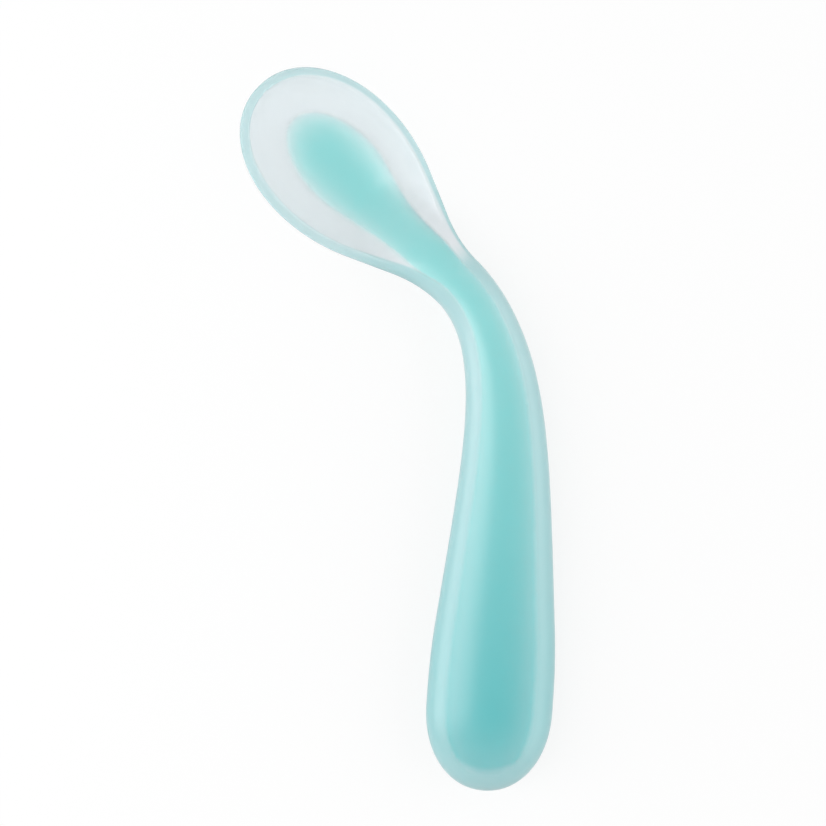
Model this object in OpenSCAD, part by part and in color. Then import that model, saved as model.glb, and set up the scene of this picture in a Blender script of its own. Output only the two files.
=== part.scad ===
// Feeding spoon for a small child, with a neck that is bent by hand to either side.
// A coloured core runs from the grip through the neck into the bowl and holds a soft wire.
// A clear skin is moulded over the core, and it alone makes the bowl.
// The spoon lies on its back: the bowl opens to +Z, the butt points to -Y, and the neck
// is bent to the left (-X). Every section is square to the middle line, which is measured
// from the butt (0) to the tip of the bowl.

/* [Length] */
// Butt to the narrowest point of the neck, along the middle line
handle_len = 94.5; // [86:0.5:104]
// Narrowest point of the neck to the tip of the bowl
bowl_len = 50.4; // [46:0.2:56]

/* [Grip] */
// Greatest width of the grip
grip_w = 22.9; // [19:0.1:27]
// Greatest thickness of the grip
grip_t = 12.6; // [10:0.1:15]
// Butt to where the grip starts to narrow
grip_full_len = 18; // [16:0.5:30]
// Length of the round end of the grip
butt_len = 15; // [11:0.5:16]
// Fullness of the round end, where 2 is an ellipse
butt_fullness = 2.1; // [1.8:0.1:3]
// Depth of the flats that the grip and the bowl rest on
rest_flat = 0.25; // [0.1:0.05:0.4]

/* [Neck] */
// Width of the neck at its narrowest point
neck_w = 10.4; // [8:0.1:13]
// Thickness of the neck at its narrowest point
neck_t = 7.8; // [6:0.1:9]
// Height of the neck's middle above the table
neck_z = 7.2; // [6:0.1:9]
// Butt to the start of the stretch that flexes
flex_from = 52; // [44:1:60]
// Narrowest point of the neck to the end of the stretch that flexes
flex_past_neck = 9.5; // [7:0.5:12]

/* [Bend] */
// How far the neck is bent to the left
bend_angle = 49.6; // [0:0.1:55]
// Butt to where the bend starts
bend_from = 26.5; // [20:0.5:40]
// Power by which the bend tightens towards the neck
bend_growth = 4; // [2:0.5:5]
// How far the grip leans to the right of +Y
grip_lean = 4; // [0:0.5:10]
// How far the bend has rolled the bowl, its left side up
bowl_roll = 5.5; // [0:0.5:10]

/* [Bowl] */
// Greatest width of the bowl
bowl_w = 27.8; // [24:0.1:32]
// Narrowest point of the neck to the widest place of the bowl
bowl_wide_at = 31.4; // [27:0.2:34]
// Narrowest point of the neck to the deepest place of the bowl
bowl_deep_at = 24; // [20:0.5:28]
// Outside height of the bowl, rim to underside
bowl_h = 8.8; // [7.5:0.1:11]
// Thickness of the bowl's floor
floor_t = 2.4; // [1.8:0.1:3]
// Width of the rim's lip
lip_w = 1.6; // [1.2:0.1:2.2]
// Height of the lip's rounded top
lip_round = 1; // [0.6:0.1:1.4]
// Narrowest point of the neck to where the hollow of the bowl starts
dish_from = 6; // [4:0.5:10]
// Fullness of the bowl's outline at the tip, where 2 is an ellipse
tip_fullness = 2.1; // [1.8:0.1:2.6]

/* [Core] */
// Skin over the sides of the core in the grip
grip_side_skin = 2.2; // [1.4:0.1:3]
// Skin above and below the core in the grip
grip_skin = 1.6; // [1:0.1:2.2]
// Skin at the end of the butt
butt_skin = 2.4; // [1.6:0.1:3.5]
// Skin over the sides of the core in the neck
neck_side_skin = 1.8; // [1:0.1:2.2]
// Skin above and below the core in the neck
neck_skin = 1.2; // [0.9:0.1:1.6]
// Greatest width of the core's tongue in the bowl
tongue_w = 14.4; // [12:0.2:18]
// Narrowest point of the neck to where the tongue starts to widen
tongue_from = 8.5; // [4:0.5:11]
// Narrowest point of the neck to the widest place of the tongue
tongue_wide_at = 29.5; // [26:0.5:33]
// Narrowest point of the neck to the end of the tongue
tongue_len = 42; // [39:0.5:44]
// Skin above and below the tongue
tongue_skin = 0.6; // [0.4:0.05:0.8]
// Length over which the tongue thins to its edge
tongue_edge = 9; // [6:0.5:12]

/* [Wire] */
// Diameter of the soft wire that keeps the bend
wire_d = 2; // [1.2:0.1:2.4]
// Play between the wire and its channel in the core, all round
wire_gap = 0.05; // [0.03:0.01:0.15]
// Butt to the start of the wire
wire_from = 30; // [24:1:40]
// Narrowest point of the neck to the end of the wire
wire_past_neck = 5; // [3:0.5:6]

/* [Hidden] */

// Places along the middle line
spoon_len = handle_len + bowl_len;
flex_to = handle_len + flex_past_neck;
bowl_wide = handle_len + bowl_wide_at;
bowl_deep = handle_len + bowl_deep_at;
dish_start = handle_len + dish_from;
dish_end = spoon_len - lip_w;
tongue_start = handle_len + tongue_from;
tongue_wide = handle_len + tongue_wide_at;
tongue_end = handle_len + tongue_len;
wire_to = handle_len + wire_past_neck;

// Heights
bowl_under = bowl_h - lip_round;
dish_depth = bowl_h - floor_t;

// Shares of a stretch over which its change of size starts and stops
taper_shares = [0.16, 0.18];
spread_shares = [0.3, 0.45];
settle_shares = [0.3, 0.45];
dish_shares = [0.4, 0.3];
tongue_shares = [0.5, 0.25];

// Fullness of the sections and of the hollow, where 2 is an ellipse
section_fullness = 2.25;
lip_fullness = 3.2;
dish_side_fullness = 2.2;
dish_side_power = 0.62;
tongue_fullness = 2;
edge_fullness = 2;

// Number of steps along each stretch and round each section
butt_steps = 7;
grip_steps = 8;
neck_steps = 14;
root_steps = 6;
tip_steps = 11;
tongue_tip_steps = 7;
wire_steps = 20;
under_steps = 18;
dish_steps = 12;
core_steps = 20;
wire_sides = 10;
line_steps = 290;
lip_point_shares = [0.1, 0.4, 0.75, 1];
// Least share of a section's half width that the hollow's points keep
least_dish_share = 0.35;

// Length of a step of the middle line
line_step = spoon_len / line_steps;

function mix(a, b, u) = a + (b - a) * u;
function within(u) = min(1, max(0, u));

// A change from 0 to 1 that is straight between its two rounded ends
function eased(u, shares) =
  let (
    v = within(u),
    slope = 1 / (1 - shares[0] / 2 - shares[1] / 2)
  )
  v < shares[0] ? slope * v * v / (2 * shares[0])
  : v > 1 - shares[1] ? 1 - slope * (1 - v) * (1 - v) / (2 * shares[1])
  : slope * (v - shares[0] / 2);

// Falls from 1 to 0 as a rounded end does
function round_end(u, fullness) =
  pow(max(0, 1 - pow(within(u), fullness)), 1 / fullness);

// The middle line, which turns left more tightly as it nears the neck
function heading(s) =
  90 - grip_lean
  + bend_angle * pow(within((s - bend_from) / (handle_len - bend_from)), bend_growth);
function ahead(s) = [cos(heading(s)), sin(heading(s))];
function rightward(s) = [sin(heading(s)), -cos(heading(s))];
middle_line = [
  for (i = 0, p = [0, 0]; i <= spoon_len / line_step + 1;
    p = p + line_step * ahead((i + 0.5) * line_step), i = i + 1) p
];
function middle(s) =
  let (i = floor(s / line_step))
  middle_line[i] + (s - i * line_step) * ahead((s + i * line_step) / 2);

// How far the grip has narrowed, the bowl has widened, and the neck has become bowl
function taper(s) = eased((s - grip_full_len) / (handle_len - grip_full_len), taper_shares);
function spread(s) = eased((s - handle_len) / bowl_wide_at, spread_shares);
function settle(s) = eased((s - handle_len) / bowl_deep_at, settle_shares);

// A size that goes from the grip's to the neck's, and on to the bowl's
function along(s, grip, neck, bowl) =
  s < handle_len ? mix(grip, neck, taper(s)) : mix(neck, bowl, settle(s));

function butt(s, skin) =
  round_end((butt_len - s) / (butt_len - skin), butt_fullness);
function tip(s, inset) =
  round_end((s - bowl_wide) / (spoon_len - inset - bowl_wide), tip_fullness);
function deep(s, inset) =
  round_end((s - bowl_deep) / (spoon_len - inset - bowl_deep), section_fullness);

// Half width of the spoon, and its height above and below its widest line
function full_half_w(s) =
  s < handle_len ? mix(grip_w / 2, neck_w / 2, taper(s))
  : mix(neck_w / 2, bowl_w / 2, spread(s));
function half_w(s) = full_half_w(s) * butt(s, 0) * tip(s, 0);
function full_up(s) = along(s, grip_t / 2, neck_t / 2, lip_round);
function full_down(s) = along(s, grip_t / 2, neck_t / 2, bowl_under);
function up(s) = full_up(s) * butt(s, 0) * round_end((s - dish_end) / lip_w, edge_fullness);
function down(s) = full_down(s) * butt(s, 0) * deep(s, 0);

// Depth below its middle of a section that is rolled over
function rolled_depth(half, depth, roll) =
  let (k = section_fullness / (section_fullness - 1))
  pow(pow(half * sin(roll), k) + pow(depth * cos(roll), k), 1 / k);
bowl_z = rolled_depth(bowl_w / 2, bowl_under, bowl_roll) - rest_flat;
grip_z = grip_t / 2 - rest_flat;
function middle_z(s) = along(s, grip_z, neck_z, bowl_z);
function roll(s) = bowl_roll * eased((s - flex_from) / (flex_to - flex_from), settle_shares);

// The hollow of the bowl
function dish_along(s) =
  s < bowl_deep ? eased((s - dish_start) / (bowl_deep - dish_start), dish_shares)
  : deep(s, lip_w);
function dish_half_w(s) =
  s < bowl_wide ? full_half_w(s) - lip_w : (bowl_w / 2 - lip_w) * tip(s, lip_w);
function dish(s, x) =
  let (v = abs(x) / max(dish_half_w(s), lip_w / 2))
  dish_depth * dish_along(s)
  * pow(max(0, 1 - pow(v, dish_side_fullness)), dish_side_power);

// Top and underside of the spoon at a distance x to the right of the middle line
function cap(x, half, fullness) = round_end(abs(x) / half, fullness);
function top_z(s, x) =
  up(s) * cap(x, half_w(s), along(s, section_fullness, section_fullness, lip_fullness))
  - dish(s, x);
function under_z(s, x) = -down(s) * cap(x, half_w(s), section_fullness);

// Places a point of a section, x to the right and z above its widest line
function placed(s, x, z) =
  let (
    a = roll(s),
    p = middle(s) + (x * cos(a) + z * sin(a)) * rightward(s)
  )
  [p[0], p[1], middle_z(s) + z * cos(a) - x * sin(a)];
function on_table(p) = [p[0], p[1], max(0, p[2])];

// One section of the skin: the underside from left to right, then the top back again
function power_cos(a, fullness) = sign(cos(a)) * pow(abs(cos(a)), 2 / fullness);
function power_sin(a, fullness) = sign(sin(a)) * pow(abs(sin(a)), 2 / fullness);
function top_xs(s) =
  let (
    half = half_w(s),
    hollow = max(min(dish_half_w(s), half * (1 - least_dish_share / 2)),
      half * least_dish_share)
  )
  concat(
    [for (k = lip_point_shares) mix(half, hollow, k)],
    [for (i = [1 : dish_steps - 1]) hollow * cos(180 * i / dish_steps)],
    [for (i = [len(lip_point_shares) - 1 : -1 : 0]) -mix(half, hollow, lip_point_shares[i])]
  );
function skin_section(s) = concat(
  [for (i = [0 : under_steps])
    let (a = 180 + 180 * i / under_steps)
    on_table(placed(s, half_w(s) * power_cos(a, section_fullness),
      down(s) * power_sin(a, section_fullness)))],
  [for (x = top_xs(s)) on_table(placed(s, x, top_z(s, x)))]
);

// One section of the core, which keeps to the middle of the skin's thickness
function core_half_w(s) =
  s < handle_len
  ? (full_half_w(s) - mix(grip_side_skin, neck_side_skin, taper(s))) * butt(s, butt_skin)
  : mix(neck_w / 2 - neck_side_skin, tongue_w / 2,
      eased((s - tongue_start) / (tongue_wide - tongue_start), tongue_shares))
    * round_end((s - tongue_wide) / (tongue_end - tongue_wide), tongue_fullness);
function core_half_t(s) =
  ((full_up(s) + full_down(s) * deep(s, 0) - dish_depth * dish_along(s)) / 2
    - along(s, grip_skin, neck_skin, tongue_skin))
  * butt(s, butt_skin)
  * round_end((s - tongue_end + tongue_edge) / tongue_edge, edge_fullness);
function middle_of_skin(s, x) =
  s < butt_len ? 0 : (top_z(s, x) + under_z(s, x)) / 2;
function core_section(s) = [
  for (i = [0 : core_steps - 1])
    let (
      a = 180 + 360 * i / core_steps,
      x = core_half_w(s) * power_cos(a, section_fullness)
    )
    placed(s, x,
      middle_of_skin(s, x) + core_half_t(s) * power_sin(a, section_fullness))
];

// One section of the wire or of its channel
function wire_section(s, radius) = [
  for (i = [0 : wire_sides - 1])
    let (a = 180 + 360 * i / wire_sides)
    placed(s, radius * cos(a), middle_of_skin(s, 0) + radius * sin(a))
];

// Places of the sections: evenly along a stretch, or closer towards a round end
function even(from, to, steps) = [for (i = [0 : steps - 1]) mix(from, to, i / steps)];
function from_end(end, to, steps) =
  [for (i = [1 : steps - 1]) mix(to, end, cos(90 * i / steps))];
function to_end(from, end, steps) =
  [for (i = [0 : steps - 1]) mix(from, end, sin(90 * i / steps))];

// The skin's and the core's sections, in the same three stretches
skin_grip_places = concat(
  from_end(0, butt_len, butt_steps), even(butt_len, flex_from, grip_steps), [flex_from]);
neck_places = concat(even(flex_from, flex_to, neck_steps), [flex_to]);
skin_bowl_places = concat(
  even(flex_to, bowl_deep, root_steps), to_end(bowl_deep, spoon_len, tip_steps));
core_grip_places = concat(
  from_end(butt_skin, butt_len, butt_steps), even(butt_len, flex_from, grip_steps),
  [flex_from]);
core_tongue_places = concat(
  even(flex_to, bowl_deep, root_steps), to_end(bowl_deep, tongue_end, tongue_tip_steps));

// The object's box, so that its origin lies at the middle of the box's underside
skin_points = [
  for (s = concat(skin_grip_places, neck_places, skin_bowl_places)) each skin_section(s),
  placed(0, 0, 0), placed(spoon_len, 0, 0)
];
function centre_of(values) = (min(values) + max(values)) / 2;
origin = [
  centre_of([for (p = skin_points) p[0]]), centre_of([for (p = skin_points) p[1]]), 0
];

// A closed solid through sections that all have as many points, between two end points
module loft(sections, first, last) {
  n = len(sections[0]);
  m = len(sections);
  ends = n * m;
  points = concat([for (section = sections) each section], [first, last]);
  sides = [
    for (i = [0 : m - 2], j = [0 : n - 1])
      let (k = (j + 1) % n)
      each [
        [i * n + j, i * n + k, (i + 1) * n + k],
        [i * n + j, (i + 1) * n + k, (i + 1) * n + j]
      ]
  ];
  first_end = [for (j = [0 : n - 1]) [ends, (j + 1) % n, j]];
  last_end = [for (j = [0 : n - 1])
    [ends + 1, (m - 1) * n + j, (m - 1) * n + (j + 1) % n]];
  translate(-origin) polyhedron(points, concat(sides, first_end, last_end));
}

function middle_point(s) = placed(s, 0, middle_of_skin(s, 0));

module skin_loft(places, first, last) {
  loft([for (s = places) skin_section(s)], middle_point(first), middle_point(last));
}

module core_loft(places, first, last) {
  loft([for (s = places) core_section(s)], middle_point(first), middle_point(last));
}

module whole_core() {
  core_loft(concat(core_grip_places, [for (i = [1 : neck_steps - 1]) neck_places[i]],
    core_tongue_places), butt_skin, tongue_end);
}

module wire(radius, from, to) {
  places = concat(even(from, to, wire_steps), [to]);
  loft([for (s = places) wire_section(s, radius)], middle_point(from), middle_point(to));
}

module wire_channel() {
  wire(wire_d / 2 + wire_gap, wire_from - wire_gap, wire_to + wire_gap);
}

// Clear skin round the grip
module skin_grip() {
  color("PaleTurquoise", 0.5)
    difference() {
      skin_loft(skin_grip_places, 0, flex_from);
      whole_core();
    }
}

// Clear skin round the stretch that flexes
module skin_neck() {
  color("PaleTurquoise", 0.5)
    difference() {
      skin_loft(neck_places, flex_from, flex_to);
      whole_core();
    }
}

// Clear bowl, moulded in one with the skin
module skin_bowl() {
  color("WhiteSmoke", 0.5)
    difference() {
      skin_loft(skin_bowl_places, flex_to, spoon_len);
      whole_core();
    }
}

// Coloured core inside the grip
module core_grip() {
  color("MediumTurquoise")
    difference() {
      core_loft(core_grip_places, butt_skin, flex_from);
      wire_channel();
    }
}

// Coloured core inside the stretch that flexes
module core_neck() {
  color("MediumTurquoise")
    difference() {
      core_loft(neck_places, flex_from, flex_to);
      wire_channel();
    }
}

// Thin tongue of the core under the bowl's floor
module core_tongue() {
  color("MediumTurquoise")
    difference() {
      core_loft(core_tongue_places, flex_to, tongue_end);
      wire_channel();
    }
}

// Soft wire that keeps the neck's bend
module neck_wire() {
  color("Silver") wire(wire_d / 2, wire_from, wire_to);
}

skin_grip();
skin_neck();
skin_bowl();
core_grip();
core_neck();
core_tongue();
neck_wire();
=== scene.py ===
"""Looks of the feeding spoon: one clear skin, one coloured core and the soft wire.

The sizes and the formulas of the sections repeat those of the solids, with many more points and
with the soft edges that a moulding has. They are in millimetres and degrees, and become metres
where a mesh is made. Floor, lamps and camera are in metres.

Every section is square to the middle line, at a distance s from the butt along that line. In a
section, x lies to the right of the middle line, and z above it.
"""

import math

import bpy
import numpy as np
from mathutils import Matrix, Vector


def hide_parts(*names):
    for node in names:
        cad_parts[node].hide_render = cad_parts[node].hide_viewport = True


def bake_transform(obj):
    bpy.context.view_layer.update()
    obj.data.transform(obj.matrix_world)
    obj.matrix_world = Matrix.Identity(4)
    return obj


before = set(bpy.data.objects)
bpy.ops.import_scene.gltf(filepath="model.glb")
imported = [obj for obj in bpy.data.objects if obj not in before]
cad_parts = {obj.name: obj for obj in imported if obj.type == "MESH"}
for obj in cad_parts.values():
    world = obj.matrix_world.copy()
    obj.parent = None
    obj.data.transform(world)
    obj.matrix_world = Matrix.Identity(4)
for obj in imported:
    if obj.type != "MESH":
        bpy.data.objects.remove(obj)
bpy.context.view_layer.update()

MM = 0.001

# Butt to the narrowest point of the neck, and from there to the tip of the bowl
handle_len, bowl_len = 94.5, 50.4
# Grip: width, thickness, and butt to where it starts to narrow
grip_w, grip_t, grip_full_len = 22.9, 12.6, 18.0
# Round end of the grip: length and fullness, where 2 is an ellipse
butt_len, butt_fullness = 15.0, 2.1
# Depth of the flats that the grip and the bowl rest on
rest_flat = 0.25
# Neck at its narrowest point: width, thickness, and height of its middle above the table
neck_w, neck_t, neck_z = 10.4, 7.8, 7.2
# Stretch that flexes: butt to its start, and the neck's narrowest point to its end
flex_from, flex_past_neck = 52.0, 9.5
# Bend to the left: angle, butt to its start, and the power by which it tightens
bend_angle, bend_from, bend_growth = 49.6, 26.5, 4.0
# Lean of the grip to the right, and roll of the bowl, its left side up
grip_lean, bowl_roll = 4.0, 5.5
# Bowl: width, and the neck's narrowest point to its widest and its deepest place
bowl_w, bowl_wide_at, bowl_deep_at = 27.8, 31.4, 24.0
# Bowl: outside height, floor, width of the lip, and height of the lip's rounded top
bowl_h, floor_t, lip_w, lip_round = 8.8, 2.4, 1.6, 1.0
# The neck's narrowest point to the start of the hollow, and fullness of the bowl's tip
dish_from, tip_fullness = 6.0, 2.1
# Skin over the core in the grip: at the sides, above and below, and at the butt
grip_side_skin, grip_skin, butt_skin = 2.2, 1.6, 2.4
# Skin over the core in the neck: at the sides, and above and below
neck_side_skin, neck_skin = 1.8, 1.2
# Tongue of the core: width, and the neck's narrowest point to its start, widest place and end
tongue_w, tongue_from, tongue_wide_at, tongue_len = 14.4, 8.5, 29.5, 42.0
# Skin above and below the tongue, and the length over which the tongue thins to its end
tongue_skin, tongue_edge = 0.6, 9.0
# Wire: thickness, butt to its start, and the neck's narrowest point to its end
wire_d, wire_from, wire_past_neck = 2.0, 30.0, 5.0

# The same places from the butt, and depths in the bowl
spoon_len = handle_len + bowl_len
flex_to = handle_len + flex_past_neck
bowl_wide = handle_len + bowl_wide_at
bowl_deep = handle_len + bowl_deep_at
dish_start = handle_len + dish_from
dish_end = spoon_len - lip_w
tongue_start = handle_len + tongue_from
tongue_wide = handle_len + tongue_wide_at
tongue_end = handle_len + tongue_len
wire_to = handle_len + wire_past_neck
bowl_under = bowl_h - lip_round
dish_depth = bowl_h - floor_t

# Shares of a stretch over which a size starts to change, and over which it stops changing
TAPER, SPREAD, SETTLE = (0.16, 0.18), (0.3, 0.45), (0.3, 0.45)
DISH, TONGUE = (0.4, 0.3), (0.5, 0.25)
# Fullness of sections, sides and ends, where 2 is an ellipse
SECTION, LIP, DISH_SIDE, TONGUE_TIP, EDGE = 2.25, 3.2, 2.2, 2.0, 2.0
# Power that makes the walls of the hollow steep and its floor even
DISH_POWER = 0.62
# Softness of the corner between the lip and the hollow
LIP_CORNER = 0.05
# Least half width, so that nothing is divided by 0
LEAST_HALF = 1e-9


def mix(a, b, u):
    """From a, where u is 0, to b, where u is 1."""
    return a + (b - a) * u


def within(u):
    """A number held between 0 and 1."""
    return min(1.0, max(0.0, u))


def smooth(t):
    """From 0 to 1 with no corner at either end, for one number or many."""
    v = np.clip(t, 0, 1)
    return v * v * (3 - 2 * v)


def eased(u, shares):
    """From 0 to 1, gathering speed over the first share and losing it over the second."""
    v = within(u)
    slope = 1 / (1 - shares[0] / 2 - shares[1] / 2)
    if v < shares[0]:
        return slope * v * v / (2 * shares[0])
    if v > 1 - shares[1]:
        return 1 - slope * (1 - v) ** 2 / (2 * shares[1])
    return slope * (v - shares[0] / 2)


def round_end(u, fullness):
    """1 while u is below 0, and from there a round end that closes where u is 1."""
    return max(0.0, 1 - within(u) ** fullness) ** (1 / fullness)


def cap(x, half, fullness):
    """Height of a rounded section at x, as a share of its height in the middle."""
    v = np.minimum(1, np.abs(x) / max(half, LEAST_HALF))
    return np.maximum(0, 1 - v**fullness) ** (1 / fullness)


def power(t, fullness):
    """Turns a cosine or sine into that of a fuller round."""
    return np.sign(t) * np.abs(t) ** (2 / fullness)


# Middle line


def heading(s):
    """Direction of the middle line, from +X. At 90 degrees it runs to +Y."""
    turn = within((s - bend_from) / (handle_len - bend_from)) ** bend_growth
    return math.radians(90 - grip_lean + bend_angle * turn)


LINE_STEPS = 1450
line_step = spoon_len / LINE_STEPS


def walked():
    """The points of the middle line, a step apart, to one step past the tip."""
    line = np.zeros((LINE_STEPS + 2, 2))
    for i in range(LINE_STEPS + 1):
        h = heading((i + 0.5) * line_step)
        line[i + 1] = line[i] + line_step * np.array((math.cos(h), math.sin(h)))
    return line


middle_line = walked()


def middle(s):
    """The point of the middle line at s."""
    i = s / line_step
    k = min(int(i), LINE_STEPS)
    return mix(middle_line[k], middle_line[k + 1], i - k)


# Widths and heights along the spoon


def taper(s):
    """0 in the full grip, 1 at the narrowest point of the neck."""
    return eased((s - grip_full_len) / (handle_len - grip_full_len), TAPER)


def spread(s):
    """0 at the narrowest point of the neck, 1 at the widest place of the bowl."""
    return eased((s - handle_len) / bowl_wide_at, SPREAD)


def settle(s):
    """0 at the narrowest point of the neck, 1 at the deepest place of the bowl."""
    return eased((s - handle_len) / bowl_deep_at, SETTLE)


def along(s, grip, neck, bowl):
    """From its value in the grip, through that of the neck, to that of the bowl."""
    return mix(grip, neck, taper(s)) if s < handle_len else mix(neck, bowl, settle(s))


def butt(s, skin):
    """Round end of the grip, under the given depth of skin."""
    return round_end((butt_len - s) / (butt_len - skin), butt_fullness)


def tip(s, inset):
    """Round end of the bowl from above, and of what is inset in it."""
    return round_end((s - bowl_wide) / (spoon_len - inset - bowl_wide), tip_fullness)


def deep(s, inset):
    """Round end of the bowl from the side, and of what is inset in it."""
    return round_end((s - bowl_deep) / (spoon_len - inset - bowl_deep), SECTION)


def full_half_w(s):
    """Half the width, before the ends are rounded."""
    if s < handle_len:
        return mix(grip_w / 2, neck_w / 2, taper(s))
    return mix(neck_w / 2, bowl_w / 2, spread(s))


def half_w(s):
    """Half the width of the skin."""
    return full_half_w(s) * butt(s, 0) * tip(s, 0)


def full_up(s):
    """Height above the widest line of the section, before the ends are rounded."""
    return along(s, grip_t / 2, neck_t / 2, lip_round)


def full_down(s):
    """Depth below the widest line of the section, before the ends are rounded."""
    return along(s, grip_t / 2, neck_t / 2, bowl_under)


def up(s):
    """Height of the skin above the widest line of its section."""
    return full_up(s) * butt(s, 0) * round_end((s - dish_end) / lip_w, EDGE)


def down(s):
    """Depth of the skin below the widest line of its section."""
    return full_down(s) * butt(s, 0) * deep(s, 0)


def rolled_depth(half, depth, angle):
    """Depth of a rounded section once it is rolled by an angle."""
    k = SECTION / (SECTION - 1)
    return ((half * math.sin(angle)) ** k + (depth * math.cos(angle)) ** k) ** (1 / k)


bowl_z = rolled_depth(bowl_w / 2, bowl_under, math.radians(bowl_roll)) - rest_flat
grip_z = grip_t / 2 - rest_flat


def middle_z(s):
    """Height of the widest line of a section above the table."""
    return along(s, grip_z, neck_z, bowl_z)


def roll(s):
    """Angle by which a section is rolled, its left side up."""
    return math.radians(bowl_roll) * eased((s - flex_from) / (flex_to - flex_from), SETTLE)


def dish_along(s):
    """Depth of the hollow along the bowl, as a share of its greatest depth."""
    if s < bowl_deep:
        return eased((s - dish_start) / (bowl_deep - dish_start), DISH)
    return deep(s, lip_w)


def dish_half_w(s):
    """Half the width of the hollow."""
    if s < bowl_wide:
        return full_half_w(s) - lip_w
    return (bowl_w / 2 - lip_w) * tip(s, lip_w)


def dish(s, x):
    """Depth of the hollow at x, with a soft corner where it meets the lip."""
    v = np.abs(x) / max(dish_half_w(s), lip_w / 2)
    wall = np.maximum(0, 1 - v**DISH_SIDE)
    wall = np.sqrt(wall**2 + LIP_CORNER**2) - LIP_CORNER
    return dish_depth * dish_along(s) * wall**DISH_POWER


def top_z(s, x):
    """Height of the top of the skin at x."""
    return up(s) * cap(x, half_w(s), along(s, SECTION, SECTION, LIP)) - dish(s, x)


def under_z(s, x):
    """Height of the underside of the skin at x."""
    return -down(s) * cap(x, half_w(s), SECTION)


def middle_of_skin(s, x):
    """Height of the middle of the skin's wall at x."""
    return x * 0 if s < butt_len else (top_z(s, x) + under_z(s, x)) / 2


def core_half_w(s):
    """Half the width of the core, as in the solid."""
    if s < handle_len:
        side = mix(grip_side_skin, neck_side_skin, taper(s))
        return (full_half_w(s) - side) * butt(s, butt_skin)
    wide = eased((s - tongue_start) / (tongue_wide - tongue_start), TONGUE)
    end = round_end((s - tongue_wide) / (tongue_end - tongue_wide), TONGUE_TIP)
    return mix(neck_w / 2 - neck_side_skin, tongue_w / 2, wide) * end


def tongue_thins(s):
    """1 in the core, and down to 0 over the last stretch of the tongue."""
    return round_end((s - tongue_end + tongue_edge) / tongue_edge, EDGE)


def core_half_t(s):
    """Half the thickness of the core, under its skin."""
    wall = (full_up(s) + full_down(s) * deep(s, 0) - dish_depth * dish_along(s)) / 2
    skin_over = along(s, grip_skin, neck_skin, tongue_skin)
    return (wall - skin_over) * butt(s, butt_skin) * tongue_thins(s)


# Shape of the tongue, beyond that of the solid: shift to the right at its root and at its widest
# place, and reach of its soft edges at the root
ROOT_ASIDE, TONGUE_ASIDE, ROOT_REACH = -0.35, 0.65, 0.7


def thinning(s):
    """0 in the opaque core of the handle, 1 in the tongue."""
    return smooth((s - handle_len) / tongue_from)


def widening(s):
    """0 at the root of the tongue, 1 at its widest place."""
    return smooth((s - tongue_start) / (tongue_wide - tongue_start))


def tongue_aside(s):
    """How far the tongue lies to the right of the middle line."""
    return mix(ROOT_ASIDE * thinning(s), TONGUE_ASIDE, widening(s))


def core_reach(s):
    """Half the core's width, with the soft edges that the tongue has at its root."""
    return core_half_w(s) + ROOT_REACH * thinning(s) * (1 - widening(s))


# Rings of points

# Points of a skin ring along the underside, along each side of the lip and across the hollow
UNDER_STEPS, LIP_STEPS, DISH_STEPS = 56, 14, 96
# How much the points of the lip crowd towards its outer edge
LIP_CROWDING = 1.8
# Least share of a section's half width that the hollow's points take, and the lip's points
LEAST_DISH, LEAST_LIP = 0.35, 0.175
# Points of a ring of the core, and of the wire
CORE_STEPS, WIRE_STEPS = 72, 20

lip_shares = np.array([(k / LIP_STEPS) ** LIP_CROWDING for k in range(1, LIP_STEPS + 1)])
under_turn = np.pi + np.pi * np.arange(UNDER_STEPS + 1) / UNDER_STEPS
core_turn = np.pi + 2 * np.pi * np.arange(CORE_STEPS) / CORE_STEPS
wire_turn = np.pi + 2 * np.pi * np.arange(WIRE_STEPS) / WIRE_STEPS


def placed(s, x, z):
    """The points of the section at s, from their places x and z in it."""
    angle, direction, centre = roll(s), heading(s), middle(s)
    across = x * math.cos(angle) + z * math.sin(angle)
    points = (
        centre[0] + across * math.sin(direction),
        centre[1] - across * math.cos(direction),
        middle_z(s) + z * math.cos(angle) - x * math.sin(angle),
    )
    return np.stack(points, axis=-1)


def middle_point(s):
    """The point in the middle of the skin's wall, on the middle line."""
    x = np.zeros(1)
    return placed(s, x, middle_of_skin(s, x))[0]


def skin_xs(s):
    """Places of a ring's points across it, first along the underside and then along the top."""
    half = half_w(s)
    hollow = max(min(dish_half_w(s), half * (1 - LEAST_LIP)), half * LEAST_DISH)
    lip = mix(half, hollow, lip_shares)
    floor_xs = hollow * np.cos(np.pi * np.arange(1, DISH_STEPS) / DISH_STEPS)
    under = half * power(np.cos(under_turn), SECTION)
    return under, np.concatenate((lip, floor_xs, -lip[::-1]))


def skin_section(s):
    """A ring of the skin, cut off level with the table."""
    under, top = skin_xs(s)
    under_ring = placed(s, under, down(s) * power(np.sin(under_turn), SECTION))
    ring = np.concatenate((under_ring, placed(s, top, top_z(s, top))))
    ring[:, 2] = np.maximum(0, ring[:, 2])
    return ring


def core_section(s):
    """A ring of the core, which follows the middle of the skin's wall."""
    x = core_reach(s) * power(np.cos(core_turn), SECTION) + tongue_aside(s)
    above = core_half_t(s) * power(np.sin(core_turn), SECTION)
    return placed(s, x, middle_of_skin(s, x) + above)


def wire_section(s):
    """A ring of the wire, which follows the middle of the core."""
    radius = wire_d / 2
    z = middle_of_skin(s, np.zeros(1))[0] + radius * np.sin(wire_turn)
    return placed(s, radius * np.cos(wire_turn), z)


# Numbers kept on the points, from which the materials take how the silicone looks there

# Where the core starts to pale and where it is palest, from the butt: painted light, for the white
# around that would shine through a thinner core
PALE_FROM, PALE_TO = 14.0, 86.0
# Layers of the tongue's colour that its root counts for
ROOT_BODY = 1.5
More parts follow.
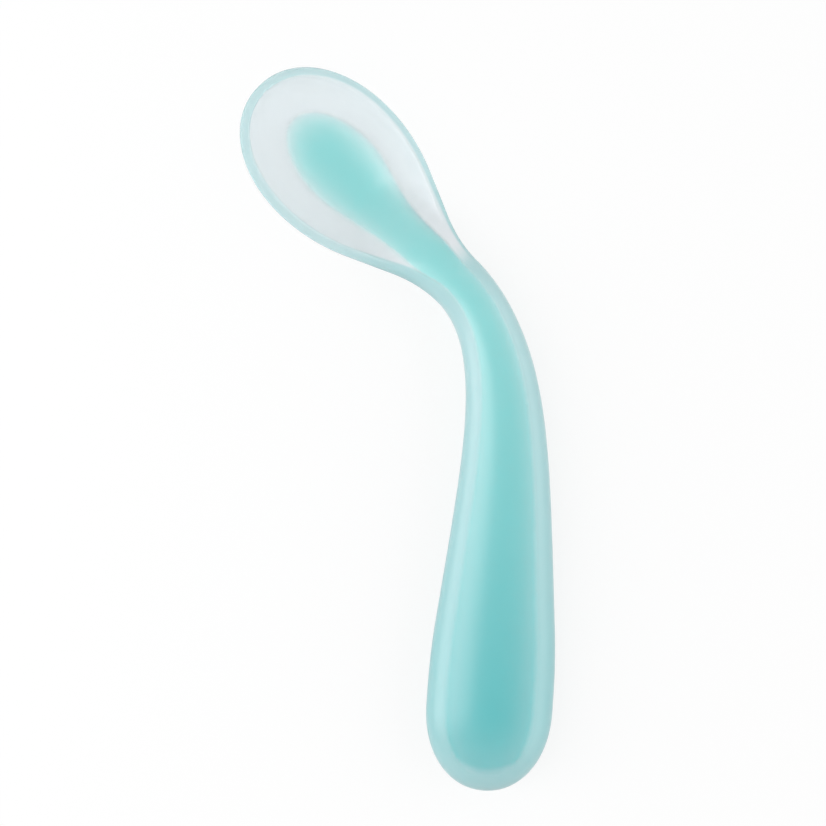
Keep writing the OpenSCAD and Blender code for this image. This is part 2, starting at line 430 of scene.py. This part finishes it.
# Milk beside the core: how far in it starts, as a share of the core's half width and a distance
# more, and the share of that way over which it grows
EDGE_SHARE, EDGE_INSET, EDGE_SOFT = 0.17, 0.5, 0.7
# The same beside the tongue, both as distances
TONGUE_INSET, TONGUE_SOFT = 0.7, 0.9
# Milk at the butt: length over which it gives way to the core, and how round the core's end is
BUTT_SOFT, BUTT_ROUND = 2.2, 0.06
# Milk where the skin is alone, in the handle and in the bowl
ALONE_GRIP, ALONE_BOWL = 1.0, 0.4
# How far before the neck's narrowest point the frosting of the bowl starts
FROST_LEAD = 4.0
# Tint beside the core, in shares of its half width: how far in it is full, and over what it grows
TINT_INSET, TINT_SPAN = 0.13, 0.22
# Length over which the full tint of the butt gives way to that beside the core, and how far
# before the neck's narrowest point the tint of the lip starts
TINT_BUTT, TINT_LEAD = 5.0, 0.5
# Depth of the tint at the butt and in the neck, as shares of that in the grip
BUTT_TINT, NECK_TINT = 0.85, 0.75
# Tint of the lip: depth, how far inside the hollow's edge it starts, over what it grows, and its
# shift to the right in the bowl and at the root
LIP_TINT, LIP_INSET, LIP_SOFT, LIP_SHIFT, ROOT_LIP_SHIFT = 0.75, 0.1, 0.5, 0.35, 0.8
# Veil over the core: power and gain by which it thickens, its limit, and its share in the tongue
VEIL_POWER, VEIL_GAIN, VEIL_MOST, TONGUE_VEIL = 0.76, 1.45, 0.42, 0.2


def core_body(s, x):
    """How much of the core's colour stands at x.

    The tongue is so thin that its colour fades as it gets thinner, towards its edges.
    """
    thick = tongue_thins(s) * cap(x, core_reach(s), SECTION)
    layers = mix(ROOT_BODY, 1.0, smooth((s - handle_len) / (tongue_wide - handle_len)))
    return mix(1.0, 1 - (1 - thick) ** layers, thinning(s))


def core_bodies(s):
    """The colour of the whole thickness of the tongue is given to its upper surface."""
    upper = core_body(s, core_reach(s) * power(np.cos(core_turn), SECTION))
    return upper * np.where(np.sin(core_turn) > 0, 1.0, 1 - thinning(s))


def core_painted_backlight(s):
    """Painted light: the core is painted paler as it thins, for the white around that would shine
    through it.
    """
    return np.full(CORE_STEPS, within((s - PALE_FROM) / (PALE_TO - PALE_FROM)))


def skin_alone(s, x):
    """1 where nothing but skin lies below, 0 over the core."""
    inner = x - tongue_aside(s)
    inset = mix(EDGE_SHARE * core_half_w(s) + EDGE_INSET, TONGUE_INSET, thinning(s))
    soft = mix(EDGE_SOFT * inset, TONGUE_SOFT, thinning(s))
    beside = smooth((np.abs(inner) - core_reach(s) + inset) / soft)
    over = smooth((s - butt_skin - BUTT_ROUND * x**2) / BUTT_SOFT)
    return 1 - over * (1 - beside) * (1 - (1 - core_body(s, inner)) ** 2)


def skin_milk(s, x):
    """How milky the skin looks where it is alone: less in the thin wall of the bowl."""
    return skin_alone(s, x) * mix(ALONE_GRIP, ALONE_BOWL, settle(s))


def skin_frost(s, x):
    """How much the skin blurs what is seen through it: the table under the bowl."""
    return skin_alone(s, x) * smooth((s - handle_len + FROST_LEAD) / (dish_from + FROST_LEAD))


def skin_tint(s, x):
    """Deeper where light goes a long way through skin: beside the core and in the lip."""
    open_share = tip(s, lip_w)
    lip_from = dish_half_w(s) - LIP_INSET - LIP_SOFT * (1 - open_share)
    aside = mix(ROOT_LIP_SHIFT, LIP_SHIFT, settle(s)) * open_share
    lip = LIP_TINT * smooth((np.abs(x - aside) - lip_from) / LIP_SOFT)
    half = max(core_half_w(s), lip_w)
    beside = smooth((np.abs(x) / half - 1 + TINT_INSET + TINT_SPAN) / TINT_SPAN)
    beside = mix(1.0, beside, smooth((s - butt_skin) / TINT_BUTT))
    beside = beside * mix(BUTT_TINT, 1, smooth(s / butt_len)) * along(s, 1, NECK_TINT, 1)
    return mix(beside, lip, smooth((s - handle_len + TINT_LEAD) / dish_from))


def skin_depth(s, x):
    """Depth of the skin over the core, as a share of its depth in the handle."""
    return np.full(len(x), mix(1.0, TONGUE_VEIL, smooth((s - handle_len) / dish_from)))


def skin_veil(mesh, depth):
    """The thin milk over the core, which thickens where the skin turns down to its sides."""
    normals = np.empty(3 * len(mesh.vertices), np.float32)
    mesh.vertices.foreach_get("normal", normals)
    turned = 1 - np.abs(normals[2::3])
    return depth * np.minimum(VEIL_MOST, VEIL_GAIN * turned**VEIL_POWER)


# Meshes

# Rings of the skin in the butt, from there to the bowl's deepest place, and from there on
BUTT_RINGS, SKIN_RINGS, BOWL_RINGS = 26, 200, 80
# Rings of the core in the butt, from there to where the tongue thins to its end, and from there on
CORE_BUTT_RINGS, CORE_RINGS, CORE_END_RINGS = 20, 110, 20
WIRE_RINGS = 60


def even(start, end, steps):
    """Places from start to just before end, an even step apart."""
    return [mix(start, end, i / steps) for i in range(steps)]


def from_end(end, to, steps):
    """Places between an end and to, closer together near the end."""
    return [mix(to, end, math.cos(math.pi / 2 * i / steps)) for i in range(1, steps)]


def to_end(start, end, steps):
    """Places from start to just before end, closer together near the end."""
    return [mix(start, end, math.sin(math.pi / 2 * i / steps)) for i in range(steps)]


def keep(mesh, key, numbers):
    """Keeps a number for each point of a mesh, which its material reads."""
    attribute = mesh.attributes.new(key, "FLOAT", "POINT")
    attribute.data.foreach_set("value", np.asarray(numbers, np.float32))


def loft(name, sections, first, last, shift, **values):
    """A closed mesh through rings of points between two end points.

    Each of values is a named list of a number for each point, ends last.
    """
    # n points in each of m rings
    n, m = len(sections[0]), len(sections)
    points = np.concatenate([*sections, [first], [last]]) + shift
    faces = [
        (i * n + j, (i + 1) * n + j, (i + 1) * n + (j + 1) % n, i * n + (j + 1) % n)
        for i in range(m - 1)
        for j in range(n)
    ]
    faces += [(n * m, j, (j + 1) % n) for j in range(n)]
    faces += [(n * m + 1, (m - 1) * n + (j + 1) % n, (m - 1) * n + j) for j in range(n)]
    mesh = bpy.data.meshes.new(name)
    mesh.from_pydata((points * MM).tolist(), [], faces)
    mesh.validate()
    mesh.shade_smooth()
    mesh.update()
    for key, numbers in values.items():
        keep(mesh, key, numbers)
    obj = bpy.data.objects.new(name, mesh)
    bpy.context.scene.collection.objects.link(obj)
    return obj


skin_places = [
    *from_end(0, butt_len, BUTT_RINGS),
    *even(butt_len, bowl_deep, SKIN_RINGS),
    *to_end(bowl_deep, spoon_len, BOWL_RINGS),
]
core_places = [
    *from_end(butt_skin, butt_len, CORE_BUTT_RINGS),
    *even(butt_len, tongue_end - tongue_edge, CORE_RINGS),
    *to_end(tongue_end - tongue_edge, tongue_end, CORE_END_RINGS),
]
wire_places = [*even(wire_from, wire_to, WIRE_RINGS), wire_to]


def over_skin(law, *ends):
    """What a law gives at each point of the skin, ends last."""
    return [v for s in skin_places for x in skin_xs(s) for v in law(s, x)] + [*ends]


def over_core(law, *ends):
    """What a law gives at each point of the core, ends last."""
    return [v for s in core_places for v in law(s)] + [*ends]


skin_rings = [skin_section(s) for s in skin_places]
skin_ends = middle_point(0.0), middle_point(spoon_len)
skin_points = np.concatenate([*skin_rings, skin_ends])
# Puts the origin in the middle of the spoon's box, on the table
shift = -(skin_points.min(0) + skin_points.max(0)) / 2 * np.array((1, 1, 0))

skin = loft(
    "clear_skin",
    skin_rings,
    *skin_ends,
    shift,
    milk=over_skin(skin_milk, ALONE_GRIP, ALONE_BOWL),
    frost=over_skin(skin_frost, 0.0, 1.0),
    tint=over_skin(skin_tint, 1.0, LIP_TINT),
)
skin_depths = np.array(over_skin(skin_depth, 1.0, TONGUE_VEIL))
keep(skin.data, "veil", skin_veil(skin.data, skin_depths))
core = loft(
    "coloured_core",
    [core_section(s) for s in core_places],
    middle_point(butt_skin),
    middle_point(tongue_end),
    shift,
    body=over_core(core_bodies, 1.0, 0.0),
    pale=over_core(core_painted_backlight, 0.0, 1.0),
)
wire = loft(
    "soft_wire",
    [wire_section(s) for s in wire_places],
    middle_point(wire_from),
    middle_point(wire_to),
    shift,
)


# Building blocks of the materials

WHITE = (1, 1, 1)


class Recipe:
    """The nodes of a material or of the world."""

    def __init__(self, owner):
        owner.use_nodes = True
        self.nodes = owner.node_tree.nodes
        self.links = owner.node_tree.links

    def give(self, node, inputs):
        """Sets a node's inputs to numbers and colours, or links outputs to them."""
        for name, value in inputs.items():
            socket = node.inputs[name]
            if isinstance(value, bpy.types.NodeSocket):
                self.links.new(value, socket)
            elif socket.type == "RGBA":
                socket.default_value = (*value, 1)
            else:
                socket.default_value = value

    def add(self, kind, inputs):
        node = self.nodes.new(kind)
        self.give(node, inputs)
        return node

    def place(self):
        """The place of a point on its piece."""
        return self.nodes.new("ShaderNodeTexCoord").outputs["Object"]

    def kept(self, key):
        """A number kept on the points of the mesh."""
        attribute = self.nodes.new("ShaderNodeAttribute")
        attribute.attribute_name = key
        return attribute.outputs["Fac"]

    def noise(self, place, scale, detail):
        inputs = {"Scale": scale, "Detail": detail, "Vector": place}
        return self.add("ShaderNodeTexNoise", inputs).outputs["Fac"]

    def span(self, fac, ends):
        """Stretches 0 to 1 to the two ends given."""
        inputs = {"To Min": ends[0], "To Max": ends[1], "Value": fac}
        return self.add("ShaderNodeMapRange", inputs).outputs["Result"]

    def between(self, kind, fac, a, b):
        """The mix of two numbers ("FLOAT") or two colours ("RGBA")."""
        node = self.nodes.new("ShaderNodeMix")
        node.data_type = kind
        self.give(node, {"Factor": fac, "A": a, "B": b})
        return node.outputs["Result"]

    def calculated(self, operation, a, b):
        node = self.nodes.new("ShaderNodeMath")
        node.operation = operation
        self.give(node, {0: a, 1: b})
        return node.outputs["Value"]

    def bump(self, height, strength, distance):
        inputs = {"Strength": strength, "Distance": distance, "Height": height}
        return self.add("ShaderNodeBump", inputs).outputs["Normal"]

    def transparent(self, colour):
        return self.add("ShaderNodeBsdfTransparent", {"Color": colour}).outputs["BSDF"]

    def mixed(self, fac, first, second):
        """The mix of two shaders."""
        return self.add("ShaderNodeMixShader", {0: fac, 1: first, 2: second}).outputs["Shader"]

    def seen_by(self, first, *others):
        """1 for rays of the given kinds, 0 for all others."""
        path = self.nodes.new("ShaderNodeLightPath")
        value = path.outputs[first]
        for name in others:
            value = self.calculated("MAXIMUM", value, path.outputs[name])
        return value

    def finish(self, output, shader):
        self.give(self.nodes[output], {"Surface": shader})


def new_material(name):
    mat = bpy.data.materials.new(name)
    recipe = Recipe(mat)
    return mat, recipe, recipe.nodes["Principled BSDF"]


# Silicone and wire

# Skin: clear, milky, milky and tinted, and that seen edge on, and how fast it goes there
CLEAR, MILK, MILK_TINT = (0.94, 0.96, 0.97), (0.73, 0.76, 0.78), (0.335, 0.61, 0.625)
MILK_EDGE, EDGE_POWER = (0.10, 0.33, 0.35), 2.2
# What the thin wall of the bowl, and skin that light passes on its way to the core, let through
THIN_WALL, LET_BY = (0.93, 0.96, 0.97), (0.95, 0.98, 0.98)
# Roughness of the skin and of its frosted part
SATIN, FROSTED = (0.28, 0.36), 0.65
# Sheen of the skin in the handle and in the bowl, and its roughness
SHEEN, BOWL_SHEEN, SHEEN_ROUGH = 0.65, 0.2, 0.3
# Core: thick and deep in colour, thin and painted paler for the light that would shine through it,
# its roughness, and how much light it scatters
CORE_TEAL, CORE_BACKLIT_PALE = (0.118, 0.50, 0.51), (0.28, 0.66, 0.65)
CORE_SATIN, CORE_SCATTER = (0.5, 0.6), 0.5
# Silicone: refraction, depth to which it scatters light, and shares of red, green and blue
REFRACTION, SCATTER_DEPTH = 1.41, 0.002
EVEN_SCATTER, TEAL_SCATTER = (1, 1, 1), (0.6, 1, 1)
# Wire: darker and lighter steel, and roughness
STEEL_DARK, STEEL_LIGHT, DULL = (0.34, 0.35, 0.36), (0.50, 0.51, 0.52), (0.28, 0.45)
# Scale and detail of the unevenness of colours and surfaces
SKIN_CLOUD, CORE_CLOUD, SKIN_SATIN = (60, 3), (45, 3), (900, 4)
CORE_GRAIN, SKIN_GRAIN, WIRE_GRAIN = (700, 4), (6000, 2), (400, 5)
# How much lighter a cloud is than the colour around it
SKIN_CLOUD_LIGHT, CORE_CLOUD_LIGHT = 1.02, 1.04
# Strength and height of the grain of the skin and of the wire
SKIN_BUMP, WIRE_BUMP = (0.05, 0.00002), (0.2, 0.00003)


def lighter(colour, factor):
    return tuple(c * factor for c in colour)


def clear_silicone():
    """Skin: clear over the core, milky and tinted beside it, frosted in the bowl."""
    mat, recipe, clear = new_material("clear_silicone")
    place, frost = recipe.place(), recipe.kept("frost")
    satin = recipe.span(recipe.noise(place, *SKIN_SATIN), SATIN)
    surface = {
        "IOR": REFRACTION,
        "Coat Weight": recipe.between("FLOAT", frost, SHEEN, BOWL_SHEEN),
        "Coat Roughness": SHEEN_ROUGH,
        "Roughness": recipe.between("FLOAT", frost, satin, FROSTED),
        "Normal": recipe.bump(recipe.noise(place, *SKIN_GRAIN), *SKIN_BUMP),
    }
    cloud = recipe.noise(place, *SKIN_CLOUD)
    shade = recipe.between("RGBA", cloud, CLEAR, lighter(CLEAR, SKIN_CLOUD_LIGHT))
    recipe.give(clear, {**surface, "Transmission Weight": 1.0, "Base Color": shade})

    facing = recipe.add("ShaderNodeLayerWeight", {"Blend": 0.5}).outputs["Facing"]
    edge_on = recipe.calculated("POWER", facing, EDGE_POWER)
    tinted = recipe.between("RGBA", edge_on, MILK_TINT, MILK_EDGE)
    shade = recipe.between("RGBA", cloud, MILK, lighter(MILK, SKIN_CLOUD_LIGHT))
    shade = recipe.between("RGBA", recipe.kept("tint"), shade, tinted)
    scatter = {
        "Subsurface Weight": 1.0,
        "Subsurface Radius": EVEN_SCATTER,
        "Subsurface Scale": SCATTER_DEPTH,
    }
    milky = recipe.add("ShaderNodeBsdfPrincipled", {**surface, **scatter, "Base Color": shade})

    # A thin veil over the core, milky beside it
    veil = recipe.between("FLOAT", recipe.kept("milk"), recipe.kept("veil"), 1.0)
    # The wall of the bowl is too thin to bend what is seen through it
    through = recipe.mixed(frost, clear.outputs["BSDF"], recipe.transparent(THIN_WALL))
    veiled = recipe.mixed(veil, through, milky.outputs["BSDF"])
    # Lamps and the light of the room pass the skin and fall on the core and the floor
    lets_by = recipe.seen_by("Is Shadow Ray", "Is Diffuse Ray")
    shown = recipe.mixed(lets_by, veiled, recipe.transparent(LET_BY))
    recipe.finish("Material Output", shown)
    return mat


def coloured_silicone():
    """Core: opaque in the handle, and fading towards the edges of its tongue."""
    mat, recipe, solid = new_material("coloured_silicone")
    place = recipe.place()
    cloud = recipe.noise(place, *CORE_CLOUD)
    shade = recipe.between("RGBA", cloud, CORE_TEAL, lighter(CORE_TEAL, CORE_CLOUD_LIGHT))
    surface = {
        "IOR": REFRACTION,
        "Specular IOR Level": 0.0,
        "Subsurface Weight": CORE_SCATTER,
        "Subsurface Radius": TEAL_SCATTER,
        "Subsurface Scale": SCATTER_DEPTH,
        "Roughness": recipe.span(recipe.noise(place, *CORE_GRAIN), CORE_SATIN),
        # Painted light: the base colour pales along the neck, for light shining through the
        # thinner core
        "Base Color": recipe.between("RGBA", recipe.kept("pale"), shade, CORE_BACKLIT_PALE),
    }
    recipe.give(solid, surface)
    shown = recipe.mixed(recipe.kept("body"), recipe.transparent(WHITE), solid.outputs["BSDF"])
    recipe.finish("Material Output", shown)
    return mat


def drawn_wire():
    mat, recipe, steel = new_material("drawn_wire")
    grain = recipe.noise(recipe.place(), *WIRE_GRAIN)
    surface = {
        "Metallic": 1.0,
        "Base Color": recipe.between("RGBA", grain, STEEL_DARK, STEEL_LIGHT),
        "Roughness": recipe.span(grain, DULL),
        "Normal": recipe.bump(grain, *WIRE_BUMP),
    }
    recipe.give(steel, surface)
    return mat


skin.data.materials.append(clear_silicone())
core.data.materials.append(coloured_silicone())
wire.data.materials.append(drawn_wire())

for piece, slot_name, nodes_stood_for in (
    (skin, "clear_skin", ("skin_grip", "skin_neck", "skin_bowl")),
    (core, "coloured_core", ("core_grip", "core_neck", "core_tongue")),
    (wire, "wire", ("neck_wire",)),
):
    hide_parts(*nodes_stood_for)
    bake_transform(piece)


# Floor, world and lamps

# Floor: half its side, how far below the spoon it lies, its grey, roughness and glow to the eye
HALF_FLOOR, FLOOR_DROP = 1.5, 0.0002
FLOOR_GREY, FLOOR_ROUGH, FLOOR_GLOW = (0.86, 0.86, 0.86), 0.9, 0.8
# Sky: its strength as light, and what the eye sees of it
SKY_LIGHT, SEEN_SKY = 0.64, (0.8, 0.8, 0.8)


def pale_floor():
    mat, recipe, matt = new_material("pale_floor")
    surface = {"Base Color": FLOOR_GREY, "Roughness": FLOOR_ROUGH, "Specular IOR Level": 0.0}
    recipe.give(matt, surface)
    glow = recipe.add("ShaderNodeEmission", {"Color": WHITE}).outputs["Emission"]
    seen = recipe.seen_by("Is Camera Ray", "Is Glossy Ray", "Is Transmission Ray")
    share = recipe.calculated("MULTIPLY", seen, FLOOR_GLOW)
    recipe.finish("Material Output", recipe.mixed(share, matt.outputs["BSDF"], glow))
    return mat


def bright_room():
    """Even light from all around, with a plain bright background behind the floor."""
    world = bpy.data.worlds.new("world")
    recipe = Recipe(world)
    light = recipe.nodes["Background"]
    recipe.give(light, {"Color": WHITE, "Strength": SKY_LIGHT})
    background = recipe.add("ShaderNodeBackground", {"Color": SEEN_SKY, "Strength": 1.0})
    seen = recipe.seen_by("Is Camera Ray", "Is Transmission Ray")
    both = light.outputs["Background"], background.outputs["Background"]
    recipe.finish("World Output", recipe.mixed(seen, *both))
    return world


def area_light(name, place, aim, width, depth, watts):
    light = bpy.data.lights.new(name, "AREA")
    light.shape = "RECTANGLE"
    light.size, light.size_y, light.energy = width, depth, watts
    obj = bpy.data.objects.new(name, light)
    bpy.context.scene.collection.objects.link(obj)
    obj.location = place
    obj.rotation_mode = "QUATERNION"
    obj.rotation_quaternion = (Vector(aim) - Vector(place)).to_track_quat("-Z", "Y")


floor_mesh = bpy.data.meshes.new("floor")
floor_corners = [
    (x * HALF_FLOOR, y * HALF_FLOOR, -FLOOR_DROP) for x, y in ((-1, -1), (1, -1), (1, 1), (-1, 1))
]
floor_mesh.from_pydata(floor_corners, [], [(0, 1, 2, 3)])
floor = bpy.data.objects.new("floor", floor_mesh)
bpy.context.scene.collection.objects.link(floor)
floor.data.materials.append(pale_floor())

bpy.context.scene.world = bright_room()

area_light("left_softbox", (-0.375, 0.0, 0.33), (0, 0, 0), width=0.3, depth=0.75, watts=1.8)
area_light("right_softbox", (0.60, 0.0, 0.30), (0, 0, 0.02), width=0.9, depth=0.5, watts=2.0)


# Camera, straight above

# Long lens and sensor, in millimetres
LENS, SENSOR = 400.0, 36.0
# Width of the view, its middle, and the height at which it has that width
VIEW_W, VIEW_X, VIEW_Y, VIEW_Z = 0.1497, 0.0028, 0.0029, 0.0065
NEAREST, FARTHEST = 0.05, 20

camera_data = bpy.data.cameras.new("camera")
camera_data.lens, camera_data.sensor_width = LENS, SENSOR
camera_data.clip_start, camera_data.clip_end = NEAREST, FARTHEST
camera = bpy.data.objects.new("camera", camera_data)
bpy.context.scene.collection.objects.link(camera)
camera.location = (VIEW_X, VIEW_Y, VIEW_W * LENS / SENSOR + VIEW_Z)
bpy.context.scene.camera = camera
bpy.context.scene.view_settings.view_transform = "Standard"
